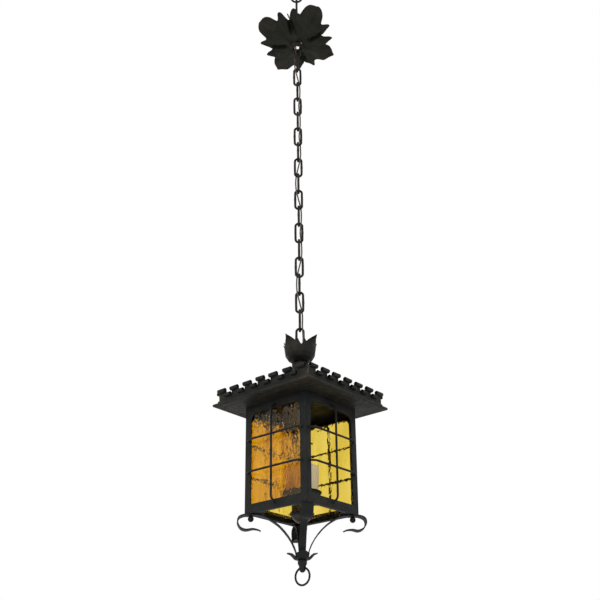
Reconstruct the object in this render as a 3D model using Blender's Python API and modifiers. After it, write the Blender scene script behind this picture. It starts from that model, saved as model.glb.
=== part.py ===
"""Wrought-iron hanging lantern: chain with laced flex, leaf canopy, square glazed body, lamp, scroll brackets.

Metres, +Z up.  The origin is the point inside the hanging ring where a ceiling hook bears.  X and Y run
along the sides of the lantern's body; the open, unglazed side faces +X.
"""
import math

import bmesh
import bpy
from mathutils import Matrix, Quaternion, Vector, geometry

# ---- driving dimensions -------------------------------------------------------------------------------
GAP = 0.0003                    # clearance kept between touching pieces

BODY = 0.158                    # side of the square body
BODY_HEIGHT = 0.218             # bottom edge of the body to the eave
PLATE = 0.0025                  # thickness of the frame plates
STILE = 0.015                   # width of a frame's upright
TOP_RAIL = 0.016
BOTTOM_RAIL = 0.018
ARCH_RADIUS = 0.016             # rounding of the opening's top corners
GLASS = 0.003

GRILLE_WIRE = 0.0022            # radius of the guard bars
STANDOFF = 0.0095               # guard bars stand this far off the frame plate
CROSSBARS = (0.080, 0.146)      # heights of the two level guard bars

EAVE = 0.120                    # half side of the eave, to the face of the fascia
LIP = 0.007                     # the eave's pointed edge moulding stands this far out
SHEET = 0.0016                  # thickness of the fascia
TABS = 13                       # tabs on each side of the fascia
TAB_RUN = 0.231                 # length of fascia that is cut into tabs
HIGH_TAB = 0.0204               # width of a high tab; the low ones share what is left
ROLL = 0.0043                   # outer radius of a rolled tab
LOW_ROLL = 0.0215               # height of the rolls' centres above the eave
HIGH_ROLL = 0.0320

LINKS = 22
WIRE = 0.0026                   # radius of the chain's wire
LINK_INNER = 0.0431             # clear length inside a link
LINK_WIDTH = 0.0205             # outer width of a link
CROWN_STEPS = 6                 # straight pieces in each half-round end of a link
RING_RADIUS = 0.0125            # hanging ring, to the middle of its wire
RING_WIRE = 0.0025
TWIST = math.radians(40)        # direction of the even links' width; they face one corner of the body

CUP_BOTTOM = 0.3200             # heights above the body's bottom edge
EYE_HEIGHT = 0.3505
CANOPY_HUB = 1.1560
CANOPY_RADIUS = 0.105
CANOPY_TILT = 12                # degrees; the side towards the front right corner is the high one

STRAP = 0.0026                  # thickness of the scroll brackets
BALL = 0.0058                   # radius of the ball nuts
BOLT_HOLE = 0.0028
BOLT_CUT = 0.0080               # height of the middle of the bracket's hole cutter, clear of its scroll below
BALL_OFFSET = 0.0995            # ball nuts, from the lantern's axis
PULL_RADIUS = 0.0165            # pull ring, to the middle of its wire
PULL_WIRE = 0.0020
PULL_HOLE = -0.1019             # height of the hole that the pull ring hangs in
PULL_TURN = math.radians(5)     # direction of that hole

# ---- worked out ---------------------------------------------------------------------------------------
LINK_LENGTH = LINK_INNER + 2 * WIRE             # between the middles of a link's two crowns
PITCH = LINK_INNER - GAP
LAST_TOP = EYE_HEIGHT + LINK_LENGTH
FIRST_TOP = LAST_TOP + (LINKS - 1) * PITCH
RING_CENTRE = FIRST_TOP - WIRE - RING_WIRE - GAP + RING_RADIUS
DROP = RING_CENTRE + RING_RADIUS - RING_WIRE    # from the hook point down to the body's bottom edge
EAVE_HEIGHT = BODY_HEIGHT + 0.0002
ROOT2 = math.sqrt(2)
ALONG = Vector((math.cos(TWIST), math.sin(TWIST), 0))
ACROSS = Vector((-math.sin(TWIST), math.cos(TWIST), 0))


# ---- scene, collections and materials -----------------------------------------------------------------
for old in list(bpy.data.objects):
    bpy.data.objects.remove(old, do_unlink=True)

lantern = bpy.data.collections.new("hanging_lantern")
cutters = bpy.data.collections.new("cutters")
bpy.context.scene.collection.children.link(lantern)
bpy.context.scene.collection.children.link(cutters)

base = bpy.data.objects.new("body_base", None)
base.location = (0, 0, -DROP)
lantern.objects.link(base)


def material(name, colour, roughness, metallic=0.0):
    mat = bpy.data.materials.new(name)
    mat.use_nodes = True
    shader = mat.node_tree.nodes["Principled BSDF"]
    shader.inputs["Base Color"].default_value = (*colour, 1)
    shader.inputs["Roughness"].default_value = roughness
    shader.inputs["Metallic"].default_value = metallic
    return mat


IRON = material("blackened_iron", (0.035, 0.038, 0.040), 0.6, 0.7)
CHAIN_IRON = material("brown_chain_iron", (0.060, 0.050, 0.040), 0.6, 0.7)
AMBER = material("amber_glass", (0.85, 0.55, 0.10), 0.15)
CREAM = material("cream_sleeve", (0.62, 0.52, 0.35), 0.6)
BULB_GLASS = material("bulb_glass", (0.80, 0.80, 0.78), 0.1)
BAKELITE = material("bakelite", (0.030, 0.022, 0.018), 0.4)
FLEX = material("brown_flex", (0.070, 0.048, 0.030), 0.7)


# ---- helpers ------------------------------------------------------------------------------------------
def keep(obj, name, mat, parent=base):
    """Name a finished piece, give it its material and put it in the lantern's collection."""
    obj.name = name
    obj.data.name = name
    obj.data.materials.clear()
    obj.data.materials.append(mat)
    for holder in list(obj.users_collection):
        holder.objects.unlink(obj)
    lantern.objects.link(obj)
    if parent is not None:
        obj.parent = parent
    return obj


def mesh_object(bm, name, mat, parent=base):
    mesh = bpy.data.meshes.new(name)
    bm.to_mesh(mesh)
    bm.free()
    obj = bpy.data.objects.new(name, mesh)
    bpy.context.scene.collection.objects.link(obj)
    return keep(obj, name, mat, parent)


def baked_mesh(curve, name, mat, parent=base):
    """A curve's evaluated mesh with its caps welded, as an object of its own."""
    bpy.context.view_layer.update()
    evaluated = curve.evaluated_get(bpy.context.evaluated_depsgraph_get())
    mesh = bpy.data.meshes.new_from_object(evaluated)
    bm = bmesh.new()
    bm.from_mesh(mesh)
    bmesh.ops.remove_doubles(bm, verts=bm.verts, dist=1e-6)
    bm.to_mesh(mesh)
    bm.free()
    obj = bpy.data.objects.new(name, mesh)
    obj.matrix_world = curve.matrix_world
    bpy.data.objects.remove(curve, do_unlink=True)
    bpy.context.scene.collection.objects.link(obj)
    return keep(obj, name, mat, parent)


def wire_curve(name, points, radius, sides=2, cyclic=False):
    """A round bar through the points; bevel resolution 1, 2 or 3 gives 6, 8 or 10 sides."""
    data = bpy.data.curves.new(name, "CURVE")
    data.dimensions = "3D"
    data.bevel_depth = radius
    data.bevel_resolution = sides
    data.use_fill_caps = not cyclic
    spline = data.splines.new("POLY")
    spline.points.add(len(points) - 1)
    for slot, point in zip(spline.points, points):
        slot.co = (*point, 1)
    spline.use_cyclic_u = cyclic
    obj = bpy.data.objects.new(name, data)
    bpy.context.scene.collection.objects.link(obj)
    return obj


def turned(name, profile, mat, steps=20, parent=base, closed=True):
    """A profile of (radius, height) points, outer side from top to bottom, turned about the Z axis."""
    bm = bmesh.new()
    ring = [bm.verts.new((r, 0, z)) for r, z in profile]
    for a, b in zip(ring, ring[1:]):
        bm.edges.new((a, b))
    if closed:
        bm.edges.new((ring[-1], ring[0]))
    obj = mesh_object(bm, name, mat, parent)
    screw = obj.modifiers.new("turn", "SCREW")
    screw.steps = steps
    screw.render_steps = steps
    screw.use_merge_vertices = True
    screw.merge_threshold = 1e-5
    screw.use_smooth_shade = False
    return obj


def square_turned(name, profile, mat):
    """As turned(), but with four flat sides; the profile's radii are half widths of the square."""
    obj = turned(name, [(half * ROOT2, z) for half, z in profile], mat, steps=4)
    obj.rotation_euler.z = math.radians(45)
    return obj


def bezier(points, resolution=8):
    """Points along a smooth curve through the control points (Catmull-Rom handles)."""
    nodes = [Vector(p) for p in points]
    out = []
    for i in range(len(nodes) - 1):
        before = nodes[i - 1] if i else nodes[i]
        after = nodes[i + 2] if i + 2 < len(nodes) else nodes[i + 1]
        h1 = nodes[i] + (nodes[i + 1] - before) / 6
        h2 = nodes[i + 1] - (after - nodes[i]) / 6
        out += geometry.interpolate_bezier(nodes[i], h1, h2, nodes[i + 1], resolution + 1)[:-1]
    out.append(nodes[-1])
    return out


def arc(radius, start, end, count):
    """Points on a circle about the origin."""
    angles = [start + (end - start) * i / count for i in range(count + 1)]
    return [(radius * math.cos(a), radius * math.sin(a)) for a in angles]


def unite(target, others):
    """Join the others into the target with exact Boolean unions, applied at once."""
    for other in others:
        cut = target.modifiers.new("join", "BOOLEAN")
        cut.operation = "UNION"
        cut.solver = "EXACT"
        cut.object = other
        bpy.context.view_layer.update()
        evaluated = target.evaluated_get(bpy.context.evaluated_depsgraph_get())
        mesh = bpy.data.meshes.new_from_object(evaluated)
        target.modifiers.clear()
        target.data = mesh
        bpy.data.objects.remove(other, do_unlink=True)


def cutter(obj):
    for holder in list(obj.users_collection):
        holder.objects.unlink(obj)
    cutters.objects.link(obj)
    obj.hide_render = True
    obj.display_type = "WIRE"
    return obj


def bored(target, name, radius, location, rotation=(0, 0, 0), parent=base):
    """Cut a round hole in the target with a hidden cylinder."""
    bpy.ops.mesh.primitive_cylinder_add(vertices=12, radius=radius, depth=0.03, location=location,
                                        rotation=rotation)
    tool = cutter(bpy.context.object)
    tool.name = name
    tool.parent = parent
    cut = target.modifiers.new(name, "BOOLEAN")
    cut.operation = "DIFFERENCE"
    cut.solver = "EXACT"
    cut.object = tool


# ---- hanging ring, chain and flex ---------------------------------------------------------------------
def hanging_ring():
    bpy.ops.mesh.primitive_torus_add(major_radius=RING_RADIUS, minor_radius=RING_WIRE, major_segments=24,
                                     minor_segments=6, location=(0, 0, RING_CENTRE - DROP),
                                     rotation=(math.radians(90), 0, TWIST))
    return keep(bpy.context.object, "hanging_ring", CHAIN_IRON, None)


def link_top(index):
    """Height of the middle of a link's top crown above the body's bottom edge; links count from 1 at the top."""
    return LAST_TOP + (LINKS - index) * PITCH


def chain_link(index):
    """An oval of round wire: straight sides and half-round crowns."""
    half = LINK_WIDTH / 2 - WIRE
    straight = LINK_LENGTH - 2 * half
    outline = []
    for i in range(CROWN_STEPS + 1):
        angle = math.pi * i / CROWN_STEPS
        outline.append((half * math.cos(angle), straight / 2 + half * math.sin(angle)))
    outline += [(-x, -z) for x, z in outline]
    side = ALONG if index % 2 == 0 else ACROSS
    middle = Vector((0, 0, link_top(index) - LINK_LENGTH / 2))
    points = [middle + side * x + Vector((0, 0, z)) for x, z in outline]
    curve = wire_curve("link", points, WIRE, sides=1, cyclic=True)
    return baked_mesh(curve, f"chain_link_{index:02d}", CHAIN_IRON)


FLEX_RADIUS = 0.0015
FLEX_SIDE = {3: -1, 5: -1, 7: 1, 9: 1, 11: 1, 13: -1, 15: 1, 17: 1, 19: -1, 21: 1}
FLEX_CLEAR = 0.0054             # the flex keeps this far off both link planes where two links meet
FLEX_JOIN = (0.0114, 0.0, 0.3512)               # where the two lengths of flex meet, beside the last link's foot
JOIN_GAP = 0.0018               # lets the lantern swing there


def flex_point(u, v, z):
    """A place given along the even links' width, across it, and by its height."""
    return ALONG * u + ACROSS * v + Vector((0, 0, z))


def chain_flex():
    """The flex winds past the side of each odd link and through the opening of each even one."""
    points = [(-0.0230, 0.0060, 1.2600), (-0.0160, 0.0062, 1.2420), (-0.0085, 0.0055, 1.2280)]
    front = 1
    for index in range(3, LINKS):
        level = link_top(index) - WIRE
        if index % 2:
            u = FLEX_SIDE[index] * FLEX_CLEAR
            v = front * FLEX_CLEAR
            points += [(u, v, level - 0.08 * PITCH), (u, -v, level - 0.92 * PITCH)]
        else:
            middle = (FLEX_SIDE[index - 1] + FLEX_SIDE[index + 1]) * 0.0014
            points.append((middle, 0, level - 0.50 * PITCH))
        front = -front
    points += [(0.0062, -0.0052, link_top(LINKS) - 0.014), (0.0075, -0.0054, 0.3700), (0.0108, -0.0058, 0.3610),
               FLEX_JOIN]
    route = bezier([flex_point(*p) for p in points], 2)
    return baked_mesh(wire_curve("flex", route, FLEX_RADIUS), "chain_flex", FLEX)


def lamp_flex():
    """The flex goes on through the cup and the roof and down behind the bulb to the lamp holder."""
    u, v, z = FLEX_JOIN
    points = [(u, v, z - JOIN_GAP), (0.0095, -0.0020, 0.3380), (0.0048, -0.0035, 0.3240),
              (0.0048, -0.0035, 0.3060), (0.0064, -0.0048, 0.2930), (0.0050, 0.0000, 0.2700), (0.0010, 0.0010, 0.2250),
              (0.0010, 0.0120, 0.1850), (0, 0.0212, 0.1400), (0, 0.0215, 0.1050), (0, 0.0190, 0.0700),
              (0, 0.0150, 0.0560), (0, HOLDER_NECK + 0.0010, 0.0500)]
    route = bezier([flex_point(*p) for p in points], 3)
    return baked_mesh(wire_curve("flex", route, FLEX_RADIUS), "lamp_flex", FLEX)


# ---- leaf rosettes: canopy, cup and collar ------------------------------------------------------------
def rosette(name, place, columns, rows, thickness, turn, height, mat=IRON):
    """A sheet of leaves: a grid wrapped round the axis.  place(leaf angle, share) gives (radius, height)."""
    bm = bmesh.new()
    bmesh.ops.create_grid(bm, x_segments=columns, y_segments=rows, size=0.5)
    for vert in bm.verts:
        around = (vert.co.x + 0.5) * 2 * math.pi
        share = vert.co.y + 0.5
        leaf = (around + math.pi / 4) % (math.pi / 2) - math.pi / 4
        radius, z = place(leaf, share)
        angle = around + turn
        vert.co = (radius * math.cos(angle), radius * math.sin(angle), z + height)
    bmesh.ops.remove_doubles(bm, verts=bm.verts, dist=1e-5)
    bmesh.ops.recalc_face_normals(bm, faces=bm.faces)
    obj = mesh_object(bm, name, mat)
    shell = obj.modifiers.new("sheet", "SOLIDIFY")
    shell.thickness = thickness
    shell.offset = 0
    return obj


def blend(table, value):
    """Straight-line reading of a short (position, value) table."""
    for (a, va), (b, vb) in zip(table, table[1:]):
        if value <= b:
            return va + (vb - va) * (value - a) / (b - a)
    return table[-1][1]


LEAF_SHEET = 0.0014             # thickness of the beaten leaves
CANOPY_TURN = math.radians(-21.7)
CANOPY_HOLE = 0.0122
CANOPY_OUTLINE = ((0, 1.0), (9, 0.97), (14, 0.90), (20, 0.76), (25, 0.70), (30, 0.84), (36, 0.84), (45, 0.60))


def canopy_place(leaf, share):
    """Four broad leaves with a tooth at each side, dished upwards, with a deep slot between neighbours."""
    reach = CANOPY_RADIUS * blend(CANOPY_OUTLINE, abs(math.degrees(leaf)))
    radius = CANOPY_HOLE + (reach - CANOPY_HOLE) * share
    lift = 0.030 * (1 - math.cos(min(radius / CANOPY_RADIUS, 1) * math.pi * 0.5))
    fold = 0.006 * math.sin(share * math.pi) * abs(math.degrees(leaf)) / 45
    return radius, lift + fold


CUP_OUTLINE = ((0, 1.0), (8, 0.93), (16, 0.84), (24, 0.77), (30, 0.74), (35, 0.78), (40, 0.68), (45, 0.62))
CUP_PROFILE = [(0.0086, 0.0), (0.0160, 0.0010), (0.0255, 0.0070), (0.0310, 0.0165), (0.0325, 0.0275),
               (0.0330, 0.0360), (0.0370, 0.0445), (0.0460, 0.0515)]


def cup_place(leaf, share):
    """Four pointed leaves that rise from a round bowl and flare at their tips."""
    along = share * blend(CUP_OUTLINE, abs(math.degrees(leaf))) * (len(CUP_PROFILE) - 1)
    i = min(int(along), len(CUP_PROFILE) - 2)
    (r0, z0), (r1, z1) = CUP_PROFILE[i], CUP_PROFILE[i + 1]
    part = along - i
    return r0 + (r1 - r0) * part, z0 + (z1 - z0) * part


COLLAR_OUTLINE = ((0, 1.0), (10, 0.96), (20, 0.88), (30, 0.80), (38, 0.68), (45, 0.52))
COLLAR_REACH = 0.0300
COLLAR_HOLE = 0.0072
COLLAR_LEVEL = -0.0857          # height of the collar's flat middle
COLLAR_BEND = 0.0150            # the leaves turn up from here, and flatten again at the next radius
COLLAR_TOP_BEND = 0.0240


def collar_place(leaf, share):
    """Four short leaves bent upwards round the foot of the brackets."""
    reach = COLLAR_REACH * blend(COLLAR_OUTLINE, abs(math.degrees(leaf)))
    radius = COLLAR_HOLE + (reach - COLLAR_HOLE) * share
    rise = min(radius, COLLAR_TOP_BEND) - COLLAR_BEND
    return radius, 1.05 * max(0, rise) + 0.40 * max(0, radius - COLLAR_TOP_BEND)


def leaves():
    canopy = rosette("ceiling_canopy", canopy_place, 40, 3, LEAF_SHEET, CANOPY_TURN, 0)
    canopy.rotation_mode = "QUATERNION"
    canopy.rotation_quaternion = Quaternion(ALONG, math.radians(-CANOPY_TILT))
    canopy.location.z = CANOPY_HUB
    rosette("leaf_cup", cup_place, 32, 5, LEAF_SHEET, 0, CUP_BOTTOM + LEAF_SHEET / 2)
    rosette("leaf_collar", collar_place, 24, 4, LEAF_SHEET, math.radians(45), COLLAR_LEVEL)


def canopy_collar():
    """Short collar under the canopy, with a set screw that grips the side of a link."""
    top = CANOPY_HUB - 0.0045
    bore, tube, flange = 0.0115, 0.0135, 0.0165
    profile = [(bore, top), (flange, top), (flange, top - 0.0015), (tube, top - 0.0020), (tube, top - 0.0090),
               (bore, top - 0.0090)]
    collar = turned("canopy_collar", profile, IRON, 20, None)
    collar = baked_mesh(collar, "canopy_collar", IRON, None)
    start = LINK_WIDTH / 2 + GAP
    end = 0.0200
    middle = flex_point((start + end) / 2, 0, top - 0.0055)
    bpy.ops.mesh.primitive_cylinder_add(vertices=10, radius=0.0015, depth=end - start, location=middle,
                                        rotation=(0, math.radians(90), TWIST))
    unite(collar, [bpy.context.object])
    return keep(collar, "canopy_collar", IRON)


# ---- roof ---------------------------------------------------------------------------------------------
ROOF_FOOT = EAVE - 0.004
ROOF_TOP = 0.3060
EYE_SHANK = 0.0028
SHANK_END = 0.2925
NECK_HALF = 0.0125
NECK_HOLE = 0.0082


def eave_tray():
    """Flat soffit with a pointed moulding round its edge and a hole for the flex and the eye's shank."""
    low = EAVE_HEIGHT
    top = low + PLATE
    inside = EAVE + GAP
    profile = [(inside, low + 0.0080), (inside + 0.0015, low + 0.0080), (EAVE + LIP, low + 0.0046),
               (EAVE + LIP, low + 0.0034), (EAVE + 0.0005, low), (0.0080, low), (0.0080, top), (inside, top)]
    return square_turned("eave_tray", profile, IRON)


def roof_cap():
    """Low hollow pyramid with a short flat-topped neck that carries the cup."""
    foot = EAVE_HEIGHT + PLATE + GAP
    hole = NECK_HOLE
    profile = [(hole, CUP_BOTTOM - GAP), (NECK_HALF, CUP_BOTTOM - GAP), (NECK_HALF, ROOF_TOP),
               (ROOF_FOOT, foot + 0.0015), (ROOF_FOOT, foot), (ROOF_FOOT - 0.0035, foot),
               (hole, ROOF_TOP - 0.0015)]
    return square_turned("roof_cap", profile, IRON)


def tab_profile(centre, foot):
    """Section of a tab: a sheet that rises behind the roll and curls outwards over it."""
    mid = EAVE - SHEET + ROLL
    turns = [math.radians(a) for a in (180, 90, 0, -90)]
    outer = [(mid + ROLL * math.cos(a), centre + ROLL * math.sin(a)) for a in turns]
    inner = [(mid + (ROLL - SHEET) * math.cos(a), centre + (ROLL - SHEET) * math.sin(a)) for a in turns]
    return [(EAVE - SHEET, foot)] + outer + inner[:0:-1] + [(EAVE, foot)]


def prism(profile, start, end):
    """A section of (outward, height) points run along the fascia from start to end."""
    bm = bmesh.new()
    face = bm.faces.new([bm.verts.new((start, -out, z)) for out, z in profile])
    moved = bmesh.ops.extrude_face_region(bm, geom=[face])
    verts = [v for v in moved["geom"] if isinstance(v, bmesh.types.BMVert)]
    bmesh.ops.translate(bm, verts=verts, vec=(end - start, 0, 0))
    bmesh.ops.recalc_face_normals(bm, faces=bm.faces)
    mesh = bpy.data.meshes.new("prism")
    bm.to_mesh(mesh)
    bm.free()
    obj = bpy.data.objects.new("prism", mesh)
    bpy.context.scene.collection.objects.link(obj)
    return obj


def fascia():
    """Four strips joined at the corners, each cut into tabs that are rolled outwards, high and low by turns."""
    foot = EAVE_HEIGHT + PLATE + GAP
    root = foot + 0.009
    slit = 0.0002
    high_count = (TABS + 1) // 2
    low_tab = (TAB_RUN - high_count * HIGH_TAB) / (TABS - high_count)
    strip = prism([(EAVE - SHEET, foot), (EAVE, foot), (EAVE, root), (EAVE - SHEET, root)], -EAVE, EAVE)
    tabs = []
    start = -TAB_RUN / 2
    for i in range(TABS):
        high = i % 2 == 0
        centre = EAVE_HEIGHT + (HIGH_ROLL if high else LOW_ROLL)
        width = HIGH_TAB if high else low_tab
        tabs.append(prism(tab_profile(centre, root - 0.003), start + slit, start + width - slit))
        start += width
    unite(strip, tabs)
    sides = []
    for quarter in (1, 2, 3):
        side = strip.copy()
        side.data = strip.data.copy()
        side.data.transform(Matrix.Rotation(math.radians(90 * quarter), 4, "Z"))
        bpy.context.scene.collection.objects.link(side)
        sides.append(side)
    unite(strip, sides)
    return keep(strip, "fascia", IRON)


# ---- body: frames, glass and guard bars ---------------------------------------------------------------
def opening(half, low, high, radius):
    """Outline of a frame's opening: square at the foot, rounded at the top."""
    points = [(-half, low), (half, low)]
    for i in range(5):
        angle = math.radians(90) * i / 4
        points.append((half - radius + radius * math.cos(angle), high - radius + radius * math.sin(angle)))
    for i in range(5):
        angle = math.radians(90) * (1 + i / 4)
        points.append((-half + radius + radius * math.cos(angle), high - radius + radius * math.sin(angle)))
    return points


def flat_plate(name, outlines, thickness, mat):
    """A filled 2D curve, thickened; the first outline is the edge and the others are holes."""
    data = bpy.data.curves.new(name, "CURVE")
    data.dimensions = "2D"
    data.fill_mode = "BOTH"
    data.extrude = thickness / 2
    for outline in outlines:
        spline = data.splines.new("POLY")
        spline.points.add(len(outline) - 1)
        for slot, (x, y) in zip(spline.points, outline):
            slot.co = (x, y, 0, 1)
        spline.use_cyclic_u = True
    obj = bpy.data.objects.new(name, data)
    bpy.context.scene.collection.objects.link(obj)
    return baked_mesh(obj, name, mat)


SIDES = (("front", 0), ("right", 90), ("back", 180), ("left", 270))
OPEN_SIDE = "right"


def frames():
    """Front and back plates run the full width; the right and left ones fit between them."""
    for name, turn in SIDES:
        half = BODY / 2 if turn % 180 == 0 else BODY / 2 - PLATE - GAP
        edge = [(-half, 0), (half, 0), (half, BODY_HEIGHT), (-half, BODY_HEIGHT)]
        hole = opening(BODY / 2 - STILE, BOTTOM_RAIL, BODY_HEIGHT - TOP_RAIL, ARCH_RADIUS)
        plate = flat_plate("frame_" + name, [edge, hole], PLATE, IRON)
        out = BODY / 2 - PLATE / 2
        angle = math.radians(turn)
        plate.rotation_euler = (math.radians(90), 0, angle)
        plate.location = (out * math.sin(angle), -out * math.cos(angle), 0)


def panes():
    """Amber glass behind three of the frames; the right one has none."""
    for name, turn in SIDES:
        if name == OPEN_SIDE:
            continue
        angle = math.radians(turn)
        out = BODY / 2 - PLATE - GAP - GLASS / 2
        low = BOTTOM_RAIL - 0.006
        high = BODY_HEIGHT - TOP_RAIL + 0.006
        bpy.ops.mesh.primitive_cube_add(size=1)
        pane = keep(bpy.context.object, "pane_" + name, AMBER)
        for vert in pane.data.vertices:
            vert.co = (vert.co.x * (BODY - 2 * STILE + 0.010), vert.co.y * GLASS,
                       (vert.co.z + 0.5) * (high - low) + low)
        pane.rotation_euler.z = angle
        pane.location = (out * math.sin(angle), -out * math.cos(angle), 0)


def guard_bar(ends, off, level=None):
    """Half the run of a bar, then its end bent back to the plate; level is its height, or None if upright."""
    near = BODY / 2 + GAP + GRILLE_WIRE
    out = BODY / 2 + off
    run = []
    for sign in (-1, 1):
        end = ends[0] if sign < 0 else ends[1]
        inner = end + (0.014 if sign < 0 else -0.014)
        bend = [(end, near), (end + (inner - end) * 0.35, near + (out - near) * 0.35),
                (end + (inner - end) * 0.70, out - (out - near) * 0.15), (inner, out)]
        run.append(bend if sign < 0 else bend[::-1])
    path = run[0] + run[1]
    if level is None:
        return [Vector((0, -o, s)) for s, o in path]
    return [Vector((s, -o, level)) for s, o in path]


def grilles():
    """Each side's guard: one upright bar welded over two level ones."""
    half = BODY / 2 - STILE + 0.007
    upright = guard_bar((BOTTOM_RAIL - 0.009, BODY_HEIGHT - TOP_RAIL + 0.007), STANDOFF + 0.0018)
    for name, turn in SIDES:
        grille = baked_mesh(wire_curve("bar", upright, GRILLE_WIRE, 1), "grille_" + name, IRON, None)
        bars = []
        for level in CROSSBARS:
            path = guard_bar((-half, half), STANDOFF, level)
            bars.append(baked_mesh(wire_curve("bar", path, GRILLE_WIRE, 1), "bar", IRON, None))
        unite(grille, bars)
        keep(grille, "grille_" + name, IRON)
        grille.rotation_euler.z = math.radians(turn)


# ---- floor of the body and the lamp -------------------------------------------------------------------
FLOOR_HALF = BODY / 2 - PLATE - GAP
GUSSET = 0.036
RIM = 0.006
SHEET_FLOOR = 0.0022
FLOOR_LEVEL = 0.0014            # middle of the base plate's thickness
LAMP_BAR = 0.007
PAN_RADIUS = 0.0390
SLEEVE_RADIUS = 0.0360
LAMP_BASE = 0.0400              # height of the drip pan
SLEEVE_TOP = 0.0960
HOLDER_RADIUS = 0.0200
HOLDER_NECK = 0.0092


def base_plate():
    """One sheet inside the foot of the frames: a rim, a gusset in each corner, and a bar from corner to corner
    that widens to a ring round the lamp holder."""
    h = FLOOR_HALF
    inner = h - RIM
    edge = [(-h, -h), (h, -h), (h, h), (-h, h)]
    hole = []
    for x, y in ((1, 1), (-1, 1), (-1, -1), (1, -1)):
        pair = [(x * inner, y * (inner - GUSSET)), (x * (inner - GUSSET), y * inner)]
        hole += pair if x * y > 0 else pair[::-1]
    plate = flat_plate("base_plate", [edge, hole], SHEET_FLOOR, IRON)
    bore = HOLDER_RADIUS + GAP
    ring = bore + 0.0040
    reach = inner * ROOT2 - GUSSET / ROOT2 + 0.0100
    meet = math.asin(LAMP_BAR / 2 / ring)
    outline = [(reach, -LAMP_BAR / 2), (reach, LAMP_BAR / 2)]
    outline += arc(ring, meet, math.pi - meet, 12)
    outline += [(-reach, LAMP_BAR / 2), (-reach, -LAMP_BAR / 2)]
    outline += arc(ring, math.pi + meet, 2 * math.pi - meet, 12)
    bar = flat_plate("lamp_bar", [outline, arc(bore, 0, 2 * math.pi, 24)[:-1]], SHEET_FLOOR, IRON)
    bar.data.transform(Matrix.Rotation(math.radians(-45), 4, "Z"))
    bar.parent = plate.parent = None
    unite(plate, [bar])
    keep(plate, "base_plate", IRON)
    plate.location.z = FLOOR_LEVEL
    return plate


def lamp():
    """Drip pan, sleeve, lamp holder with a round-bottomed cup, and a candle bulb."""
    z = LAMP_BASE
    r = PAN_RADIUS
    turned("drip_pan", [(r, z + 0.0045), (r + 0.0006, z + 0.0038), (r - 0.005, z - 0.0012), (0.0100, z - 0.0012),
                        (0.0100, z), (r - 0.0056, z), (r - 0.001, z + 0.0045)], IRON, 20)
    foot = z + GAP
    bore, outer, lip = 0.0290, SLEEVE_RADIUS, SLEEVE_TOP
    turned("lamp_sleeve", [(bore + 0.0010, lip - 0.0015), (bore + 0.0040, lip), (outer - 0.0012, lip - 0.0060),
                           (outer - 0.0030, foot + 0.0060), (outer - 0.0050, foot), (bore, foot),
                           (bore, lip - 0.0040)], CREAM, 20)
    h = HOLDER_RADIUS
    low = -0.0170
    top = z - 0.0012 - GAP
    seat = FLOOR_LEVEL + SHEET_FLOOR / 2 + GAP
    cup = [(HOLDER_NECK, z + 0.044), (HOLDER_NECK, top), (h, top), (h, seat + 0.002), (h + 0.0028, seat + 0.002),
           (h + 0.0028, seat), (h, seat)]
    for i in range(6):
        angle = math.radians(90) * i / 6
        cup.append((h * math.cos(angle), low + 0.018 - 0.018 * math.sin(angle)))
    cup.append((0.0, low))
    turned("lamp_holder", [(0.0, z + 0.044)] + cup, BAKELITE, 16, closed=False)
    start = z + 0.0443
    bulb = [(0.0, start + 0.0820)]
    for share, radius in ((0.03, 0.0030), (0.12, 0.0060), (0.30, 0.0115), (0.50, 0.0160), (0.68, 0.0174),
                          (0.82, 0.0160), (0.92, 0.0125), (0.97, 0.0100)):
        bulb.append((radius, start + 0.0820 * (1 - share)))
    bulb += [(0.0070, start), (0.0, start)]
    turned("bulb", bulb, BULB_GLASS, 12, closed=False)


# ---- brackets, ball nuts, finial and pull ring --------------------------------------------------------
BRACKET_PATH = ((0.0800, -0.0325), (0.0870, -0.0295), (0.0970, -0.0285), (0.1090, -0.0305), (0.1195, -0.0265),
                (0.1250, -0.0165), (0.1225, -0.0065), (0.1120, -0.0018), (0.1000, -0.0016), (0.0860, -0.0018),
                (0.0730, -0.0045), (0.0580, -0.0125), (0.0430, -0.0240), (0.0290, -0.0400), (0.0190, -0.0560),
                (0.0130, -0.0710), (0.0114, -0.0830))
BRACKET_WIDTH = ((0, 0.0016), (0.08, 0.0050), (0.20, 0.0105), (0.36, 0.0120), (0.52, 0.0105), (0.72, 0.0072),
                 (1, 0.0058))


def bracket(name, turn):
    """A flat iron drawn out wide at its scroll: it runs in under the corner and down to the collar."""
    path = bezier([(r, 0, z) for r, z in BRACKET_PATH], 1)
    bm = bmesh.new()
    bmesh.ops.create_grid(bm, x_segments=len(path) - 1, y_segments=2, size=0.5)
    for vert in bm.verts:
        share = vert.co.x + 0.5
        point = path[round(share * (len(path) - 1))]
        vert.co = (point.x, 2 * vert.co.y * blend(BRACKET_WIDTH, share), point.z)
    obj = mesh_object(bm, name, IRON)
    shell = obj.modifiers.new("strap", "SOLIDIFY")
    shell.thickness = STRAP
    shell.offset = 0
    bored(obj, name + "_bolt_hole", BOLT_HOLE, (BALL_OFFSET, 0, BOLT_CUT), parent=obj)
    obj.rotation_euler.z = math.radians(turn)
    return obj


def ball_nut(name, turn):
    """Ball with a threaded stud that passes up through the bracket and the gusset."""
    stud = 0.0025
    profile = [(0.0, 0.0045), (stud, 0.0045)]
    centre = -0.0016 - STRAP / 2 - GAP - BALL
    for i in range(8):
        angle = math.radians(64 - i * 22)
        profile.append((BALL * math.cos(angle), centre + BALL * math.sin(angle)))
    profile[2:2] = [(stud, centre + BALL * math.sin(math.radians(64)))]
    profile[-1] = (0.0, centre - BALL)
    angle = math.radians(turn)
    obj = turned(name, profile, IRON, 10, closed=False)
    obj.location = (BALL_OFFSET * math.cos(angle), BALL_OFFSET * math.sin(angle), 0)
    return obj


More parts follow.
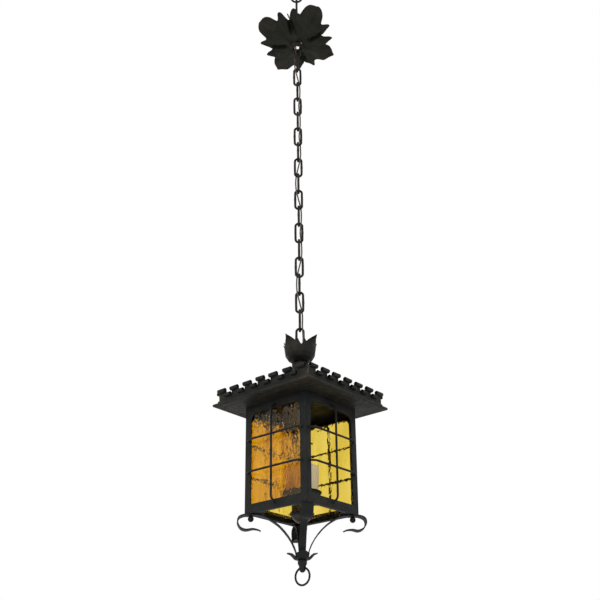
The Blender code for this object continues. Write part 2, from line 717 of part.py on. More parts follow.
def bolt_holes(plate):
    for turn in (45, 135, 225, 315):
        angle = math.radians(turn)
        spot = (BALL_OFFSET * math.cos(angle), BALL_OFFSET * math.sin(angle), 0)
        bored(plate, f"gusset_hole_{turn}", BOLT_HOLE, spot)


def finial():
    """Turned boss with a stem that rises between the brackets, a point, and a cross hole for the pull ring."""
    profile = [(0.0, -0.0700), (0.0062, -0.0700), (0.0066, -0.0868), (0.0085, -0.0872), (0.0090, -0.0945),
               (0.0068, -0.0985), (0.0062, -0.1058), (0.0, -0.1110)]
    boss = turned("finial", profile, IRON, 16, closed=False)
    bored(boss, "pull_ring_hole", 0.0033, (0, 0, PULL_HOLE), (0, math.radians(90), PULL_TURN))


def pull_ring():
    sag = PULL_RADIUS - math.sqrt(PULL_RADIUS ** 2 - 0.0065 ** 2)
    bpy.ops.mesh.primitive_torus_add(major_radius=PULL_RADIUS, minor_radius=PULL_WIRE, major_segments=24,
                                     minor_segments=8, location=(0, 0, PULL_HOLE + sag / 2 - PULL_RADIUS),
                                     rotation=(math.radians(90), 0, PULL_TURN))
    keep(bpy.context.object, "pull_ring", IRON)


def cup_eye():
    """Eye that the last link hangs in, on a shank that goes down through the cup and the neck of the roof."""
    radius = 0.0078
    wire = 0.0026
    centre = EYE_HEIGHT + WIRE + GAP + wire - radius
    ring = [Vector((0, 0, centre)) + ACROSS * (radius * math.sin(a)) + Vector((0, 0, radius * math.cos(a)))
            for a in [2 * math.pi * i / 16 for i in range(16)]]
    eye = baked_mesh(wire_curve("eye", ring, wire, 2, True), "cup_eye", IRON, None)
    top = centre - radius + 0.0005
    bpy.ops.mesh.primitive_cylinder_add(vertices=16, radius=EYE_SHANK, depth=top - SHANK_END,
                                        location=(0, 0, (top + SHANK_END) / 2))
    unite(eye, [bpy.context.object])
    keep(eye, "cup_eye", IRON)


def shank_nut():
    """Nut on the end of the shank, forged in one with a yoke that bears on the roof beside the neck's hole."""
    top = ROOF_TOP - 0.0080
    yoke_turn = TWIST + math.radians(53)
    bpy.ops.mesh.primitive_cube_add(size=1, location=(0, 0, top - 0.0015), rotation=(0, 0, yoke_turn))
    nut = bpy.context.object
    for vert in nut.data.vertices:
        vert.co = (vert.co.x * 0.0300, vert.co.y * 0.0060, vert.co.z * 0.0030)
    bpy.ops.mesh.primitive_cylinder_add(vertices=6, radius=0.0050, depth=0.0050, location=(0, 0, top - 0.0040))
    unite(nut, [bpy.context.object])
    keep(nut, "shank_nut", IRON)
    bored(nut, "shank_nut_bore", EYE_SHANK + GAP, (0, 0, top - 0.0030))
    return nut


# ---- build --------------------------------------------------------------------------------------------
hanging_ring()
for number in range(1, LINKS + 1):
    chain_link(number)
chain_flex()
lamp_flex()
leaves()
canopy_collar()
cup_eye()
shank_nut()
roof_cap()
eave_tray()
fascia()
frames()
panes()
grilles()
bolt_holes(base_plate())
lamp()
for corner, degrees in (("front_right", -45), ("back_right", 45), ("back_left", 135), ("front_left", 225)):
    bracket("bracket_" + corner, degrees)
    ball_nut("ball_nut_" + corner, degrees)
finial()
pull_ring()
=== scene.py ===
"""Looks of the hanging lantern: forged chain, leaf canopy, rolled eave tabs, amber glass and scrolls."""
import math
import random

import bpy
from mathutils import Matrix, Vector, geometry, noise


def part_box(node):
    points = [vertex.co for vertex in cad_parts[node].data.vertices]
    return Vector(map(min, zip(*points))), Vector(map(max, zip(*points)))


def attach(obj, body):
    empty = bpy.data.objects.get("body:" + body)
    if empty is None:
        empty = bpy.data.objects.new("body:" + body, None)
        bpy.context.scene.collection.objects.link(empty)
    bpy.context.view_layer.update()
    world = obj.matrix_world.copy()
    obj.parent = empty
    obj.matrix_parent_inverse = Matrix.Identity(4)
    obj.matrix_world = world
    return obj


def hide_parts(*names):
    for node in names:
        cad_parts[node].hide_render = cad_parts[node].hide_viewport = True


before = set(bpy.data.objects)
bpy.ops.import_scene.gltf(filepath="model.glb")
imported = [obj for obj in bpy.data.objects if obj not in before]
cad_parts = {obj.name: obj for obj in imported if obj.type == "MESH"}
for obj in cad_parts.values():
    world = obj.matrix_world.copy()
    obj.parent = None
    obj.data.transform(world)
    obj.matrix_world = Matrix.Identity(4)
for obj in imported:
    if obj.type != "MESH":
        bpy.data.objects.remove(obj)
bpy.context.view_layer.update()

# ---- sizes taken from the frame -----------------------------------------------------------------------
MM = 0.001
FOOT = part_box("frame_front")[0].z               # bottom edge of the glazed body
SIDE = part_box("frame_front")[1].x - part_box("frame_front")[0].x
BODY_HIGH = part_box("frame_front")[1].z - FOOT
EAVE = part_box("roof_cap")[1].x + 4 * MM         # half side of the eave, to the face of its fascia
PLATE = 2.5 * MM                                # thickness of a frame plate
STILE = 15 * MM                                 # width of a plate's upright edges
SILL, HEAD = 18 * MM, 16 * MM                   # height of its lower and upper edges
GAP = 0.3 * MM                                  # left between pieces that meet, and rubbed off sharp edges
WIRE = 2.6 * MM                                 # radius of the wire of a link
QUARTER = math.radians(90)
LINK_TURN = math.radians(40)                    # heading of the even links
PULL_TURN = math.radians(5)                     # heading of the pull ring and its cross hole
ALONG = Vector((math.cos(LINK_TURN), math.sin(LINK_TURN), 0))
ACROSS = Vector((-math.sin(LINK_TURN), math.cos(LINK_TURN), 0))
SIDES = (("front", 0), ("right", 90), ("back", 180), ("left", 270))
CORNERS = (("front_right", -45), ("back_right", 45), ("back_left", 135), ("front_left", 225))
random.seed(7)


# ---- camera and light ---------------------------------------------------------------------------------
HEADING = math.radians(-49.72)
DISTANCE = 1.86
DROP = 0.442                                    # below the foot of the body
LOOK_UP, LEAN = 23.89, -0.60                    # in degrees
LENS = 57.84
AIM = Vector((0, 0, FOOT + 0.15))               # where the lights point


def camera():
    """Stands in front of one corner of the body, a little below it, and looks up."""
    data = bpy.data.cameras.new("camera")
    data.lens = LENS
    data.sensor_width = 36
    data.shift_y = 0.06
    cam = bpy.data.objects.new("camera", data)
    bpy.context.scene.collection.objects.link(cam)
    cam.location = (DISTANCE * math.cos(HEADING), DISTANCE * math.sin(HEADING), FOOT - DROP)
    pitch = Matrix.Rotation(math.radians(90 + LOOK_UP), 4, "X")
    roll = Matrix.Rotation(math.radians(LEAN), 4, "Z")
    turn = Matrix.Rotation(HEADING + QUARTER, 4, "Z")
    cam.rotation_euler = (turn @ pitch @ roll).to_euler()
    bpy.context.scene.camera = cam


def soft_light(name, place, size, power):
    data = bpy.data.lights.new(name, "AREA")
    data.size = size
    data.energy = power
    lamp = bpy.data.objects.new(name, data)
    bpy.context.scene.collection.objects.link(lamp)
    lamp.location = place
    lamp.rotation_euler = (AIM - Vector(place)).to_track_quat("-Z", "Y").to_euler()


def studio():
    world = bpy.data.worlds.new("studio")
    bpy.context.scene.world = world
    world.use_nodes = True
    world.node_tree.nodes["Background"].inputs["Color"].default_value = (1, 1, 1, 1)
    world.node_tree.nodes["Background"].inputs["Strength"].default_value = 1.0
    bpy.context.scene.view_settings.view_transform = "Standard"
    soft_light("key_light", (0.3, -2.4, FOOT + 0.9), 1.4, 26)
    soft_light("side_light", (2.5, 0.5, FOOT + 0.2), 1.2, 12)
    soft_light("low_light", (-1.0, -1.6, FOOT - 1.0), 1.6, 10)
    bpy.ops.mesh.primitive_plane_add(size=60, location=(0, 0, FOOT - 1.3))
    floor = bpy.context.object
    floor.name = "studio_floor"
    floor.data.materials.append(plain_finish("pale_floor", (0.86, 0.86, 0.85), 0.9))


# ---- finishes -----------------------------------------------------------------------------------------
def plain_finish(name, colour, roughness):
    mat = bpy.data.materials.new(name)
    mat.use_nodes = True
    shader = mat.node_tree.nodes["Principled BSDF"]
    shader.inputs["Base Color"].default_value = (*colour, 1)
    shader.inputs["Roughness"].default_value = roughness
    return mat


class Finish:
    """A Principled finish whose colour, roughness and relief come from noise on Object coordinates."""

    def __init__(self, name):
        self.mat = bpy.data.materials.new(name)
        self.mat.use_nodes = True
        self.nodes = self.mat.node_tree.nodes
        self.links = self.mat.node_tree.links
        self.shader = self.nodes["Principled BSDF"]
        self.place = self.nodes.new("ShaderNodeTexCoord")
        self.height = None

    def set(self, **values):
        for key, value in values.items():
            self.shader.inputs[key.replace("_", " ")].default_value = value
        return self

    def noise(self, scale, detail=4, stretch=(1, 1, 1), distortion=0.0):
        mapping = self.nodes.new("ShaderNodeMapping")
        mapping.inputs["Scale"].default_value = stretch
        self.links.new(self.place.outputs["Object"], mapping.inputs["Vector"])
        tex = self.nodes.new("ShaderNodeTexNoise")
        tex.inputs["Scale"].default_value = scale
        tex.inputs["Detail"].default_value = detail
        tex.inputs["Distortion"].default_value = distortion
        self.links.new(mapping.outputs["Vector"], tex.inputs["Vector"])
        return tex.outputs["Fac"]

    def ramp(self, value, stops):
        node = self.nodes.new("ShaderNodeValToRGB")
        elements = node.color_ramp.elements
        while len(elements) < len(stops):
            elements.new(0.5)
        for element, (spot, colour) in zip(elements, stops):
            element.position = spot
            element.color = (*colour, 1) if len(colour) == 3 else colour
        self.links.new(value, node.inputs["Fac"])
        return node.outputs["Color"]

    def colour(self, value, stops):
        self.links.new(self.ramp(value, stops), self.shader.inputs["Base Color"])
        return self

    def overlay(self, base_value, base_stops, top_value, top_stops, mask_value, low, high):
        """Two coloured noises, the second showing where the mask noise is high."""
        mix = self.nodes.new("ShaderNodeMix")
        mix.data_type = "RGBA"
        mask = self.nodes.new("ShaderNodeMapRange")
        mask.inputs["From Min"].default_value = low
        mask.inputs["From Max"].default_value = high
        self.links.new(mask_value, mask.inputs["Value"])
        self.links.new(mask.outputs["Result"], mix.inputs["Factor"])
        self.links.new(self.ramp(base_value, base_stops), mix.inputs["A"])
        self.links.new(self.ramp(top_value, top_stops), mix.inputs["B"])
        self.links.new(mix.outputs["Result"], self.shader.inputs["Base Color"])
        return self

    def roughness(self, value, low, high):
        node = self.nodes.new("ShaderNodeMapRange")
        node.inputs["To Min"].default_value = low
        node.inputs["To Max"].default_value = high
        self.links.new(value, node.inputs["Value"])
        self.links.new(node.outputs["Result"], self.shader.inputs["Roughness"])
        return self

    def relief(self, value, depth, strength=1.0):
        bump = self.nodes.new("ShaderNodeBump")
        bump.inputs["Distance"].default_value = depth
        bump.inputs["Strength"].default_value = strength
        self.links.new(value, bump.inputs["Height"])
        if self.height is not None:
            self.links.new(self.height, bump.inputs["Normal"])
        self.height = bump.outputs["Normal"]
        self.links.new(self.height, self.shader.inputs["Normal"])
        return self


def iron(name, dark, light, rust):
    """Blackened iron: cloudy scale, hammer dimples, finer dents, pits and thin brown wear."""
    made = Finish(name).set(Metallic=0.3, Specular_IOR_Level=0.18)
    made.overlay(made.noise(38, 6), [(0.30, dark), (0.72, light)],
                 made.noise(420, 4), [(0.35, rust), (0.70, dark)],
                 made.noise(17, 5, distortion=0.6), 0.54, 0.72)
    made.roughness(made.noise(160, 5), 0.40, 0.82)
    made.relief(made.noise(85, 2), 1.6 * MM, 0.7)
    made.relief(made.noise(330, 3), 0.40 * MM, 0.7)
    made.relief(made.noise(1100, 4), 0.12 * MM, 0.8)
    return made.mat


IRON = iron("hammered_body_iron",
            (0.0040, 0.0048, 0.0050), (0.0125, 0.0140, 0.0130), (0.026, 0.019, 0.011))
ROOF_IRON = iron("weathered_roof_iron",
                 (0.0042, 0.0045, 0.0038), (0.0145, 0.0142, 0.0115), (0.034, 0.026, 0.015))
LEAF_IRON = iron("olive_leaf_iron",
                 (0.0040, 0.0042, 0.0030), (0.0150, 0.0146, 0.0100), (0.032, 0.023, 0.015))
CHAIN_IRON = iron("brown_chain_iron",
                  (0.0060, 0.0048, 0.0034), (0.0200, 0.0162, 0.0115), (0.040, 0.026, 0.014))


def amber(name, deep, middle, pale):
    """Drawn amber glass: upright streaks of colour and hammered ripples a few millimetres across."""
    made = Finish(name).set(Transmission_Weight=1.0, IOR=1.38, Roughness=0.0, Specular_IOR_Level=0.25)
    made.colour(made.noise(34, 5, (1, 1, 0.20), 0.5), [(0.28, deep), (0.52, middle), (0.76, pale)])
    made.relief(made.noise(95, 1, (1, 1, 0.45), 0.8), 2.4 * MM, 0.9)
    made.relief(made.noise(230, 0, (1, 1, 0.8)), 0.7 * MM, 0.9)
    return made.mat


def cream():
    made = Finish("aged_cream").set(Subsurface_Weight=0.08)
    made.overlay(made.noise(26, 4, (1, 1, 0.5)), [(0.3, (0.50, 0.40, 0.23)), (0.7, (0.63, 0.52, 0.33))],
                 made.noise(300, 3), [(0.3, (0.36, 0.28, 0.15)), (0.8, (0.52, 0.42, 0.26))],
                 made.noise(60, 5, (1, 1, 0.2)), 0.56, 0.70)
    made.roughness(made.noise(90, 3), 0.45, 0.75)
    made.relief(made.noise(520, 3), 0.10 * MM, 0.5)
    return made.mat


def flex_cover():
    made = Finish("woven_brown")
    made.colour(made.noise(240, 3, (1, 1, 0.3)),
                [(0.3, (0.026, 0.019, 0.013)), (0.7, (0.058, 0.044, 0.031))])
    made.roughness(made.noise(400, 2), 0.5, 0.8)
    made.relief(made.noise(900, 2), 0.10 * MM, 0.5)
    return made.mat


def bakelite():
    made = Finish("moulded_brown").set(Specular_IOR_Level=0.3)
    made.colour(made.noise(80, 5, distortion=1.2),
                [(0.3, (0.006, 0.0045, 0.0035)), (0.7, (0.018, 0.012, 0.009))])
    made.roughness(made.noise(120, 3), 0.35, 0.55)
    made.relief(made.noise(600, 2), 0.05 * MM, 0.5)
    return made.mat


def brass():
    made = Finish("dull_brass").set(Metallic=0.9)
    made.colour(made.noise(260, 4), [(0.3, (0.30, 0.20, 0.08)), (0.7, (0.46, 0.33, 0.15))])
    made.roughness(made.noise(500, 3), 0.32, 0.55)
    made.relief(made.noise(900, 2), 0.03 * MM, 0.5)
    return made.mat


def bulb_glass():
    made = Finish("clear_glass").set(Transmission_Weight=1.0, IOR=1.46, Base_Color=(0.95, 0.95, 0.93, 1))
    made.roughness(made.noise(60, 2), 0.02, 0.10)
    return made.mat


AMBER = amber("rippled_amber", (0.66, 0.455, 0.045), (0.78, 0.575, 0.085), (0.87, 0.670, 0.140))
DEEP_AMBER = amber("deep_rippled_amber", (0.54, 0.27, 0.008), (0.84, 0.50, 0.015), (0.95, 0.62, 0.030))
CREAM, FLEX, BAKELITE, BULB, BRASS = cream(), flex_cover(), bakelite(), bulb_glass(), brass()


# ---- making and finishing pieces ----------------------------------------------------------------------
def pick(piece):
    """Leave only this piece selected and active."""
    bpy.ops.object.select_all(action="DESELECT")
    piece.select_set(True)
    bpy.context.view_layer.objects.active = piece


def apply_all(piece):
    pick(piece)
    for modifier in list(piece.modifiers):
        bpy.ops.object.modifier_apply(modifier=modifier.name)


def done(piece, name, finish, body, nodes=(), angle=38):
    """Apply what is left, smooth the piece, name it and let it ride on its body in place of its nodes."""
    apply_all(piece)
    bpy.ops.object.transform_apply(location=True, rotation=True, scale=True)
    bpy.ops.object.shade_smooth_by_angle(angle=math.radians(angle))
    piece.name = name
    piece.data.name = name
    piece.data.materials.clear()
    piece.data.materials.append(finish)
    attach(piece, body)
    if nodes:
        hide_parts(*nodes)


def thicken(piece, thickness, offset=0.0):
    shell = piece.modifiers.new("sheet", "SOLIDIFY")
    shell.thickness = thickness
    shell.offset = offset


def soften(piece, width, segments=2):
    edge = piece.modifiers.new("edges", "BEVEL")
    edge.width = width
    edge.segments = segments
    edge.limit_method = "ANGLE"
    edge.angle_limit = math.radians(35)


def hand_worked(piece, depth, scale):
    """Small uneven dents, as a hammer leaves them; depth and size of a dent in metres."""
    apply_all(piece)
    for vert, normal in [(v, v.normal.copy()) for v in piece.data.vertices]:
        vert.co += normal * depth * noise.noise(vert.co / scale)


def curve_through(points, steps):
    """Points along a smooth curve through the control points."""
    nodes = [Vector(p) for p in points]
    out = []
    for i in range(len(nodes) - 1):
        before = nodes[i - 1] if i else nodes[i]
        after = nodes[i + 2] if i + 2 < len(nodes) else nodes[i + 1]
        h1 = nodes[i] + (nodes[i + 1] - before) / 6
        h2 = nodes[i + 1] - (after - nodes[i]) / 6
        out += geometry.interpolate_bezier(nodes[i], h1, h2, nodes[i + 1], steps + 1)[:-1]
    return out + [nodes[-1]]


def rod(points, radius, sides=3, taper=None):
    """Round bar through the points, as a mesh with closed ends."""
    data = bpy.data.curves.new("rod", "CURVE")
    data.dimensions = "3D"
    data.bevel_depth = radius
    data.bevel_resolution = sides
    data.use_fill_caps = True
    spline = data.splines.new("POLY")
    spline.points.add(len(points) - 1)
    for i, (slot, point) in enumerate(zip(spline.points, points)):
        slot.co = (*point, 1)
        if taper:
            slot.radius = taper(i / (len(points) - 1))
    piece = bpy.data.objects.new("rod", data)
    bpy.context.scene.collection.objects.link(piece)
    pick(piece)
    bpy.ops.object.convert(target="MESH")
    piece = bpy.context.object
    bpy.ops.object.mode_set(mode="EDIT")
    bpy.ops.mesh.select_all(action="SELECT")
    bpy.ops.mesh.remove_doubles(threshold=1e-6)
    bpy.ops.object.mode_set(mode="OBJECT")
    return piece


def joined(pieces):
    bpy.ops.object.select_all(action="DESELECT")
    for piece in pieces:
        piece.select_set(True)
    bpy.context.view_layer.objects.active = pieces[0]
    bpy.ops.object.join()
    return bpy.context.object


def spun(profile, steps=48):
    """A profile of (radius, height) points, outer side from top to bottom, turned about the Z axis."""
    mesh = bpy.data.meshes.new("spun")
    mesh.from_pydata([(r, 0, z) for r, z in profile], [(i, i + 1) for i in range(len(profile) - 1)], [])
    piece = bpy.data.objects.new("spun", mesh)
    bpy.context.scene.collection.objects.link(piece)
    screw = piece.modifiers.new("turn", "SCREW")
    screw.steps = steps
    screw.render_steps = steps
    screw.use_merge_vertices = True
    screw.merge_threshold = 1e-6
    apply_all(piece)
    return piece


def square_spun(profile):
    """As spun(), but with four flat sides; the profile's radii are half widths of the square."""
    piece = spun([(half * math.sqrt(2), z) for half, z in profile], 4)
    piece.rotation_euler.z = math.radians(45)
    return piece


def wrapped_grid(columns, rows, place):
    """A grid closed into a ring round the Z axis; place(angle, share) gives each vertex."""
    bpy.ops.object.select_all(action="DESELECT")
    bpy.ops.mesh.primitive_grid_add(x_subdivisions=columns, y_subdivisions=rows, size=1, location=(0, 0, 0))
    piece = bpy.context.object
    for vert in piece.data.vertices:
        vert.co = place((vert.co.x + 0.5) * 2 * math.pi, vert.co.y + 0.5)
    bpy.ops.object.mode_set(mode="EDIT")
    bpy.ops.mesh.select_all(action="SELECT")
    bpy.ops.mesh.remove_doubles(threshold=2e-6)
    bpy.ops.mesh.normals_make_consistent(inside=False)
    bpy.ops.object.mode_set(mode="OBJECT")
    return piece


def blend(table, value):
    """Straight-line reading of a short (position, value) table."""
    for (a, va), (b, vb) in zip(table, table[1:]):
        if value <= b:
            return va + (vb - va) * (value - a) / (b - a)
    return table[-1][1]


def eased(table, value, reach=1.6):
    """The table's reading with its corners rounded over a short reach to each side."""
    steps = (-1, -0.5, 0, 0.5, 1)
    return sum(blend(table, abs(value + step * reach)) for step in steps) / len(steps)


# ---- ring, chain and flex -----------------------------------------------------------------------------
def forged_ring(node, body, major, wire, turn, finish):
    low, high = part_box(node)
    bpy.ops.mesh.primitive_torus_add(major_radius=major, minor_radius=wire,
                                     major_segments=56, minor_segments=14,
                                     location=(0, 0, 0), rotation=(QUARTER, 0, turn))
    ring = bpy.context.object
    ring.location = (low + high) / 2
    hand_worked(ring, 0.18 * MM, 4 * MM)
    done(ring, "forged_" + node, finish, body, [node])


LINK_WIDE = 20.5 * MM
LINK_CUTS = (-0.62, -0.30, -0.12, 0.12, 0.30, 0.62)     # shares of the straight side's half length
WELD_LONG, WELD_SWELL = 0.2, 1.10


def oval_link(index):
    """A torus pulled apart into an oval, cut across its straight sides, with a weld bead on one of them."""
    node = f"chain_link_{index:02d}"
    low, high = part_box(node)
    half = LINK_WIDE / 2 - WIRE
    stretch = (high.z - low.z) / 2 - half - WIRE
    bpy.ops.mesh.primitive_torus_add(major_radius=half, minor_radius=WIRE,
                                     major_segments=28, minor_segments=12,
                                     location=(0, 0, 0), rotation=(QUARTER, 0, 0))
    link = bpy.context.object
    bpy.ops.object.transform_apply(location=False, rotation=True, scale=False)
    for vert in link.data.vertices:
        if abs(vert.co.z) > 1e-6:
            vert.co.z += math.copysign(stretch, vert.co.z)
    bpy.ops.object.mode_set(mode="EDIT")
    for level in LINK_CUTS:
        bpy.ops.mesh.select_all(action="SELECT")
        bpy.ops.mesh.bisect(plane_co=(0, 0, level * stretch), plane_no=(0, 0, 1))
    bpy.ops.object.mode_set(mode="OBJECT")
    weld_side = 1 if index % 4 < 2 else -1
    for vert in link.data.vertices:
        if vert.co.x * weld_side > 0 and abs(vert.co.z) < WELD_LONG * stretch:
            centre = Vector((weld_side * half, 0, vert.co.z))
            vert.co = centre + (vert.co - centre) * WELD_SWELL
    link.location = (low + high) / 2
    link.rotation_euler.z = LINK_TURN if index % 2 == 0 else LINK_TURN + QUARTER
    hand_worked(link, 0.16 * MM, 5 * MM)
    body = "first_link" if index == 1 else "chain"
    done(link, f"forged_link_{index:02d}", CHAIN_IRON, body, [node], 60)


LINKS = 22
LAST_TOP = 0.3988                               # top of the last link, above the foot of the body
PITCH = 0.0428
FLEX_RADIUS = 1.6 * MM
FLEX_SIDE = {3: -1, 5: -1, 7: 1, 9: 1, 11: 1, 13: -1, 15: 1, 17: 1, 19: -1, 21: 1}     # at the odd links
FLEX_CLEAR = 5.4 * MM                           # from the planes of the links to the flex beside them
FLEX_SWAY = 1.4 * MM                            # off the middle of the even links
FLEX_JOIN = (0.0114, 0.0, 0.3512)
FLEX_PART = 1.8 * MM                            # left between its two lengths, where the lantern swings


def along_chain(u, v, z):
    """A place given along and across the even links, and above the foot of the body."""
    return ALONG * u + ACROSS * v + Vector((0, 0, FOOT + z))


def flexes():
    """The flex winds past one side of the odd links, through the even ones and down to the lamp."""
    points = [(-0.0230, 0.0060, 1.2600), (-0.0160, 0.0062, 1.2420), (-0.0085, 0.0055, 1.2280)]
    front = 1
    for index in range(3, LINKS):
        level = LAST_TOP + (LINKS - index) * PITCH - WIRE
        if index % 2:
            u = FLEX_SIDE[index] * FLEX_CLEAR
            points.append((u, front * FLEX_CLEAR, level - 0.08 * PITCH))
            points.append((u, -front * FLEX_CLEAR, level - 0.92 * PITCH))
        else:
            middle = (FLEX_SIDE[index - 1] + FLEX_SIDE[index + 1]) * FLEX_SWAY
            points.append((middle, 0, level - 0.50 * PITCH))
        front = -front
    points += [(0.0062, -0.0052, LAST_TOP - 0.014), (0.0075, -0.0054, 0.3700), (0.0108, -0.0058, 0.3610),
               FLEX_JOIN]
    route = curve_through([along_chain(*p) for p in points], 6)
    done(rod(route, FLEX_RADIUS, 4), "laced_flex", FLEX, "chain", ["chain_flex"], 60)
    u, v, z = FLEX_JOIN
    points = [(u, v, z - FLEX_PART), (0.0095, -0.0020, 0.3380), (0.0048, -0.0035, 0.3240),
              (0.0048, -0.0035, 0.3060), (0.0064, -0.0048, 0.2930), (0.0050, 0.0000, 0.2700),
              (0.0010, 0.0010, 0.2250), (0.0010, 0.0120, 0.1850), (0, 0.0212, 0.1400), (0, 0.0215, 0.1050),
              (0, 0.0190, 0.0700), (0, 0.0150, 0.0560), (0, 0.0102, 0.0500)]
    route = curve_through([along_chain(*p) for p in points], 6)
    done(rod(route, FLEX_RADIUS, 4), "lamp_lead", FLEX, "lantern", ["lamp_flex"], 60)


# ---- leafwork -----------------------------------------------------------------------------------------
HALF_LEAF = 45                                  # degrees from a leaf's midrib to where the next leaf starts
# Edges of the leaves: degrees from the midrib, and the share of the full reach there.
ROUND_LEAF = ((0, 0.955), (4, 0.955), (9, 0.94), (13, 0.90), (17, 0.83), (21, 0.74), (24, 0.70), (27, 0.75),
              (30, 0.83), (33, 0.86), (36, 0.84), (39, 0.76), (42, 0.66), (45, 0.60))
POINTED_LEAF = ((0, 1.0), (2, 0.96), (6, 0.90), (11, 0.85), (16, 0.78), (20, 0.70), (23, 0.66), (26, 0.70),
                (30, 0.80), (32, 0.84), (35, 0.78), (39, 0.68), (45, 0.58))


def leaf_of(angle):
    """Angle from the midrib of the leaf that holds this direction, in degrees, and the leaf's number."""
    number = int(((angle + QUARTER / 2) % (2 * math.pi)) / QUARTER)
    return math.degrees((angle + QUARTER / 2) % QUARTER - QUARTER / 2), number


def vein(offset, share, width=2.2):
    """Height of the raised midrib and of the side veins that run out to a leaf's lobes and teeth."""
    ridge = math.exp(-(offset / width) ** 2)
    tooth = math.exp(-((abs(offset) - 33 * share ** 0.7) / 3.2) ** 2)
    lobe = math.exp(-((abs(offset) - 13 * share ** 1.4) / 2.4) ** 2)
    return 0.9 * ridge * (1 - 0.5 * share) + 0.7 * tooth * share + 0.45 * lobe * share


CANOPY_TURN = math.radians(-21.7)
CANOPY_REACH = 105 * MM
CANOPY_HOLE = 12.2 * MM
POINTED = (1, 2)                                # the two leaves on the low side
CANOPY_TILT = math.radians(12)
CANOPY_BOWL = 30 * MM                           # how far the rim rises above the middle
CANOPY_FOLD = 6 * MM
CANOPY_VEIN = 3.4 * MM
CURL_FROM = 0.70                                # share of the reach where the tips begin to curl
POCKET_AT, POCKET_LONG = 44 * MM, 17 * MM       # a pocket's distance from the middle, half its length
POCKET_WIDE, POCKET_DEEP = 7.0 * MM, 13 * MM
RIM_AT, RIM_WIDE, RIM_HIGH = 9.5 * MM, 2.2 * MM, 2.4 * MM       # the raised edge round a pocket


def canopy_place(angle, share):
    """Leaves dished upwards, with raised veins below and a pocket pushed up where two of them meet."""
    offset, number = leaf_of(angle)
    pointed = number in POINTED
    reach = CANOPY_REACH * eased(POINTED_LEAF if pointed else ROUND_LEAF, offset)
    radius = CANOPY_HOLE + (reach - CANOPY_HOLE) * share
    bowl = CANOPY_BOWL * (1 - math.cos(min(radius / CANOPY_REACH, 1) * math.pi / 2))
    fold = CANOPY_FOLD * math.sin(share * math.pi) * abs(offset) / HALF_LEAF
    tip = max(0, share - CURL_FROM) ** 2 / (1 - CURL_FROM) ** 2
    curl = (-5 if pointed else 4) * MM * tip * math.exp(-(offset / 20) ** 2)
    wave = 1.8 * MM * math.sin(offset * 0.36 + number) * share ** 2
    beside = (HALF_LEAF - abs(offset)) * math.pi / 180 * radius
    past = (radius - POCKET_AT) / POCKET_LONG
    pocket = POCKET_DEEP * math.exp(-(beside / POCKET_WIDE) ** 4 - past ** 4)
    rim = RIM_HIGH * math.exp(-((beside - RIM_AT) / RIM_WIDE) ** 2 - past ** 4)
    height = bowl + fold + curl + wave + pocket - rim - CANOPY_VEIN * vein(offset, share)
    direction = angle + CANOPY_TURN
    return Vector((radius * math.cos(direction), radius * math.sin(direction), height))


CUP_EDGE = ((0, 1.0), (3, 0.955), (8, 0.90), (15, 0.83), (22, 0.77), (26, 0.73), (29, 0.745), (32, 0.79),
            (34, 0.80), (37, 0.72), (41, 0.65), (45, 0.61))
CUP_SECTION = ((8.6, 0.0), (16.0, 1.0), (25.5, 7.0), (31.0, 16.5), (32.5, 27.5), (33.0, 36.0), (37.0, 44.5),
               (46.0, 51.2))                    # radius and height along a midrib, in millimetres
CUP_VEIN = 0.9 * MM                             # how far the veins stand out
CUP_PINCH = 1.6 * MM                            # how far the edges between leaves go in


def cup_place(angle, share):
    """Leaves that bulge round the eye, rise nearly upright and turn out at their tips."""
    offset = leaf_of(angle)[0]
    along = share * blend(CUP_EDGE, abs(offset)) * (len(CUP_SECTION) - 1)
    i = min(int(along), len(CUP_SECTION) - 2)
    (r0, z0), (r1, z1) = CUP_SECTION[i], CUP_SECTION[i + 1]
    part = along - i
    radius = (r0 + (r1 - r0) * part) * MM
    radius += CUP_VEIN * vein(offset, share, 3.0) * min(1, share * 2.5)
    radius -= CUP_PINCH * share * (abs(offset) / HALF_LEAF) ** 3
    height = (z0 + (z1 - z0) * part) * MM
    return Vector((radius * math.cos(angle), radius * math.sin(angle), height))


COLLAR_EDGE = ((0, 1.0), (4, 0.98), (10, 0.945), (16, 0.90), (21, 0.82), (25, 0.80), (30, 0.80), (35, 0.72),
               (40, 0.60), (45, 0.50))
COLLAR_REACH, COLLAR_HOLE = 30 * MM, 7.4 * MM
COLLAR_BEND, COLLAR_KNEE = 15 * MM, 24 * MM     # radii where a leaf turns up and where it flattens again
COLLAR_VEIN = 0.8 * MM


def collar_place(angle, share):
    """Short leaves that turn up round the foot of the straps and flatten again at their tips."""
    offset = leaf_of(angle)[0]
    reach = COLLAR_REACH * blend(COLLAR_EDGE, abs(offset))
    radius = COLLAR_HOLE + (reach - COLLAR_HOLE) * share
    height = 1.05 * max(0, min(radius, COLLAR_KNEE) - COLLAR_BEND) + 0.4 * max(0, radius - COLLAR_KNEE)
    height -= COLLAR_VEIN * vein(offset, share, 4.0) * min(1, share * 2)
    direction = angle + math.radians(45)
    return Vector((radius * math.cos(direction), radius * math.sin(direction), height))


